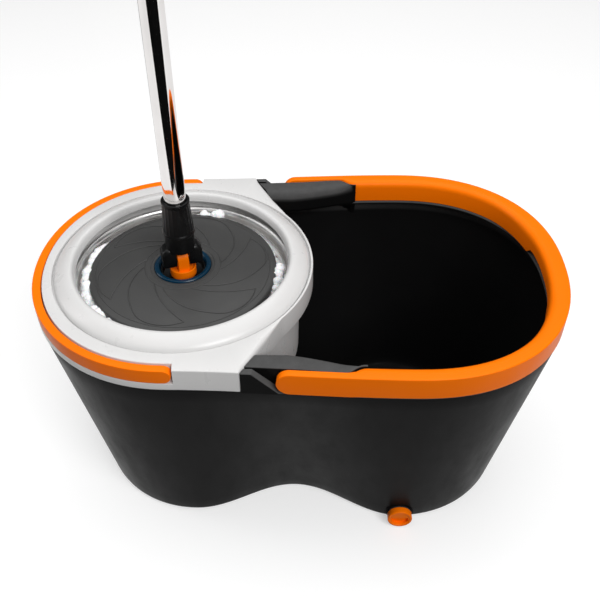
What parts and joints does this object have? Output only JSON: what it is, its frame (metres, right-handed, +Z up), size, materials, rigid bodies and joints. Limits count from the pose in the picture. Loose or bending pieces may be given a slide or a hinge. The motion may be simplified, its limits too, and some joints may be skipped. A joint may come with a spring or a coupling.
{
  "type": "spin mop",
  "caption": "Two-lobe bucket with a spin wringer, carrying handle, bail and drain plug, and a disc mop on a telescopic push handle standing in the basket.",
  "frame": {"origin": "on the floor under the middle of the bucket", "axes": "+Z up along the mop's handle, +X from the wringer towards the pouring end, +Y across the bucket"},
  "size_m": [0.449, 0.271, 1.0265],
  "materials": {
    "charcoal_plastic": "fine satin moulded polypropylene",
    "orange_plastic": "smooth semi-gloss moulded plastic",
    "white_plastic": "smooth semi-gloss moulded plastic",
    "black_plastic": "semi-gloss moulded plastic",
    "plate_plastic": "satin moulded plastic",
    "blue_plastic": "glossy moulded plastic",
    "chrome_steel": "polished chrome plate",
    "stainless_steel": "rolled stainless sheet",
    "microfibre": "looped microfibre strands",
    "soft_rubber": "matt moulded rubber",
    "nylon": "natural nylon"
  },
  "bodies": {
    "bucket": {"bucket_body": "charcoal_plastic", "wringer_frame": "white_plastic", "splash_ring": "white_plastic", "axle_bush": "nylon"},
    "drain_plug": {"drain_plug": "orange_plastic", "drain_seal": "soft_rubber"},
    "rim_handle": {"rim_handle": "orange_plastic"},
    "front_bail": {"front_bail": "orange_plastic"},
    "basket": {"spin_basket": "stainless_steel", "basket_hub": "black_plastic", "basket_axle": "stainless_steel", "axle_washer": "stainless_steel", "axle_nut": "stainless_steel"},
    "mop_head": {"mop_plate": "plate_plastic", "refill_ring": "white_plastic", "microfibre": "microfibre", "hub_bezel": "blue_plastic", "head_hub": "black_plastic", "knuckle": "orange_plastic", "yoke_pin": "chrome_steel"},
    "lower_shaft": {"yoke": "black_plastic", "socket_collar": "black_plastic", "lower_tube": "chrome_steel", "drive_nut": "nylon"},
    "snap_button": {"snap_button": "chrome_steel"},
    "slide_bush": {"slide_bush": "nylon"},
    "upper_handle": {"upper_tube": "chrome_steel", "rod_anchor": "nylon", "lock_body": "black_plastic", "grip": "soft_rubber", "end_cap": "orange_plastic", "drive_rod": "stainless_steel"},
    "lock_sleeve": {"lock_sleeve": "orange_plastic"}
  },
  "joints": [
    {"name": "drain_pull", "type": "slide", "parent": "bucket", "child": "drain_plug", "axis": [0, -1, 0], "range_m": [0, 0.035]},
    {"name": "rim_handle_lift", "type": "hinge", "parent": "bucket", "child": "rim_handle", "pos_m": [-0.00625, 0, 0.21465], "axis": [0, -1, 0], "range_deg": [0, 90]},
    {"name": "front_bail_lift", "type": "hinge", "parent": "bucket", "child": "front_bail", "pos_m": [-0.10175, 0, 0.21765], "axis": [0, 1, 0], "range_deg": [0, 65]},
    {"name": "basket_spin", "type": "hinge", "parent": "bucket", "child": "basket", "pos_m": [-0.1, 0, 0.143], "axis": [0, 0, 1], "continuous": true},
    {"name": "mop_lift", "type": "slide", "parent": "basket", "child": "mop_head", "axis": [0, 0, 1], "range_m": [0, 0.06]},
    {"name": "pole_tilt", "type": "hinge", "parent": "mop_head", "child": "lower_shaft", "pos_m": [-0.1, 0, 0.231], "axis": [0.9511, 0.309, 0], "range_deg": [-35, 35]},
    {"name": "snap_button_press", "type": "slide", "parent": "lower_shaft", "child": "snap_button", "axis": [-0.7314, 0.682, 0], "range_m": [0, 0.0025], "stiffness_N_per_m": 800},
    {"name": "handle_slide", "type": "slide", "parent": "lower_shaft", "child": "slide_bush", "axis": [0, 0, 1], "range_m": [0, 0.3]},
    {"name": "handle_swivel", "type": "hinge", "parent": "slide_bush", "child": "upper_handle", "pos_m": [-0.1, 0, 0.5], "axis": [0, 0, 1], "continuous": true},
    {"name": "lock_sleeve_turn", "type": "hinge", "parent": "upper_handle", "child": "lock_sleeve", "pos_m": [-0.1, 0, 0.51], "axis": [0, 0, 1], "range_deg": [0, 60]}
  ],
  "couplings": [
    {"joint": "basket_spin", "follows": "handle_slide", "rad_per_m": 52.36},
    {"joint": "handle_swivel", "follows": "handle_slide", "rad_per_m": -52.36}
  ]
}
